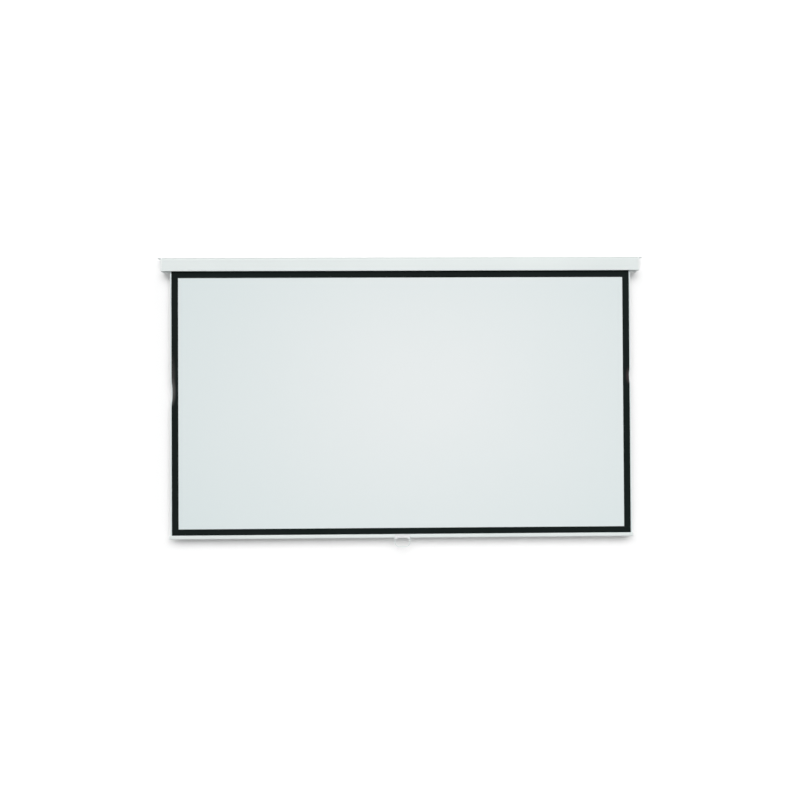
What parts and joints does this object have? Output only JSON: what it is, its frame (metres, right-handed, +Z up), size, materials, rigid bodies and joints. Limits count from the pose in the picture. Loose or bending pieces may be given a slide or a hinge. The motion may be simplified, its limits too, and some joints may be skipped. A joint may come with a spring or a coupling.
{
  "type": "wall projection screen",
  "caption": "Pull-down projection screen: spring roller with ratchet lock in a slim white case, black-bordered fabric, a bottom bar and a swinging wire pull handle.",
  "frame": {"origin": "middle of the case's flat back face, which lies against the wall", "axes": "+X to the viewer's right along the case, +Y into the wall, +Z up; the picture faces -Y"},
  "size_m": [2.418, 0.071, 1.439],
  "materials": {
    "white_paint": "satin",
    "white_plastic": "satin",
    "zinc_steel": "satin",
    "spring_steel": "satin",
    "grey_nylon": "matte",
    "screen_fabric": "matte",
    "black_fabric": "matte"
  },
  "bodies": {
    "case": {"case_shell": "white_paint", "left_end_cap": "white_plastic", "right_end_cap": "white_plastic", "left_hanger": "white_paint", "right_hanger": "white_paint", "left_hanger_screw": "zinc_steel", "right_hanger_screw": "zinc_steel", "left_cap_screw_1": "zinc_steel", "left_cap_screw_2": "zinc_steel", "left_cap_screw_3": "zinc_steel", "right_cap_screw_1": "zinc_steel", "right_cap_screw_2": "zinc_steel", "right_cap_screw_3": "zinc_steel", "left_hanger_rivet_1": "zinc_steel", "left_hanger_rivet_2": "zinc_steel", "right_hanger_rivet_1": "zinc_steel", "right_hanger_rivet_2": "zinc_steel", "spring_shaft": "zinc_steel", "ratchet_wheel": "zinc_steel", "torsion_spring": "spring_steel", "spring_collar": "grey_nylon", "collar_pin": "zinc_steel", "idle_bush": "grey_nylon", "fabric_sheet": "screen_fabric", "border_top": "black_fabric", "border_bottom": "black_fabric", "border_left": "black_fabric", "border_right": "black_fabric"},
    "roller": {"roller_tube": "zinc_steel", "fabric_wraps": "black_fabric", "spring_end_plug": "grey_nylon", "shaft_guide": "grey_nylon", "idle_end_plug": "grey_nylon", "idle_pin": "zinc_steel", "upper_pawl_pin": "zinc_steel", "lower_pawl_pin": "zinc_steel"},
    "upper_lock": {"upper_pawl": "zinc_steel"},
    "lower_lock": {"lower_pawl": "zinc_steel"},
    "bar": {"bottom_bar": "white_paint", "left_bar_cap": "white_plastic", "right_bar_cap": "white_plastic", "hem_spline": "grey_nylon", "handle_bracket": "white_paint", "left_bracket_rivet": "zinc_steel", "right_bracket_rivet": "zinc_steel"},
    "handle": {"pull_handle": "white_paint"}
  },
  "joints": [
    {"name": "bar_slide", "type": "slide", "parent": "case", "child": "bar", "axis": [0, 0, 1], "range_m": [0, 1.306], "deforming": ["fabric_sheet", "border_top", "border_bottom", "border_left", "border_right"]},
    {"name": "roller_spin", "type": "hinge", "parent": "case", "child": "roller", "pos_m": [0, -0.036, 0.001], "axis": [-1, 0, 0], "range_deg": [0, 3600]},
    {"name": "handle_swing", "type": "hinge", "parent": "bar", "child": "handle", "pos_m": [0, -0.06598, -1.3615], "axis": [-1, 0, 0], "range_deg": [-80, 120]},
    {"name": "upper_pawl_swing", "type": "hinge", "parent": "roller", "child": "upper_lock", "pos_m": [-1.1647, -0.036, 0.0144], "axis": [-1, 0, 0], "range_deg": [0, 38]},
    {"name": "lower_pawl_swing", "type": "hinge", "parent": "roller", "child": "lower_lock", "pos_m": [-1.1647, -0.036, -0.0124], "axis": [-1, 0, 0], "range_deg": [0, 38]}
  ],
  "couplings": [
    {"joint": "roller_spin", "follows": "bar_slide", "rad_per_m": 48.11}
  ]
}
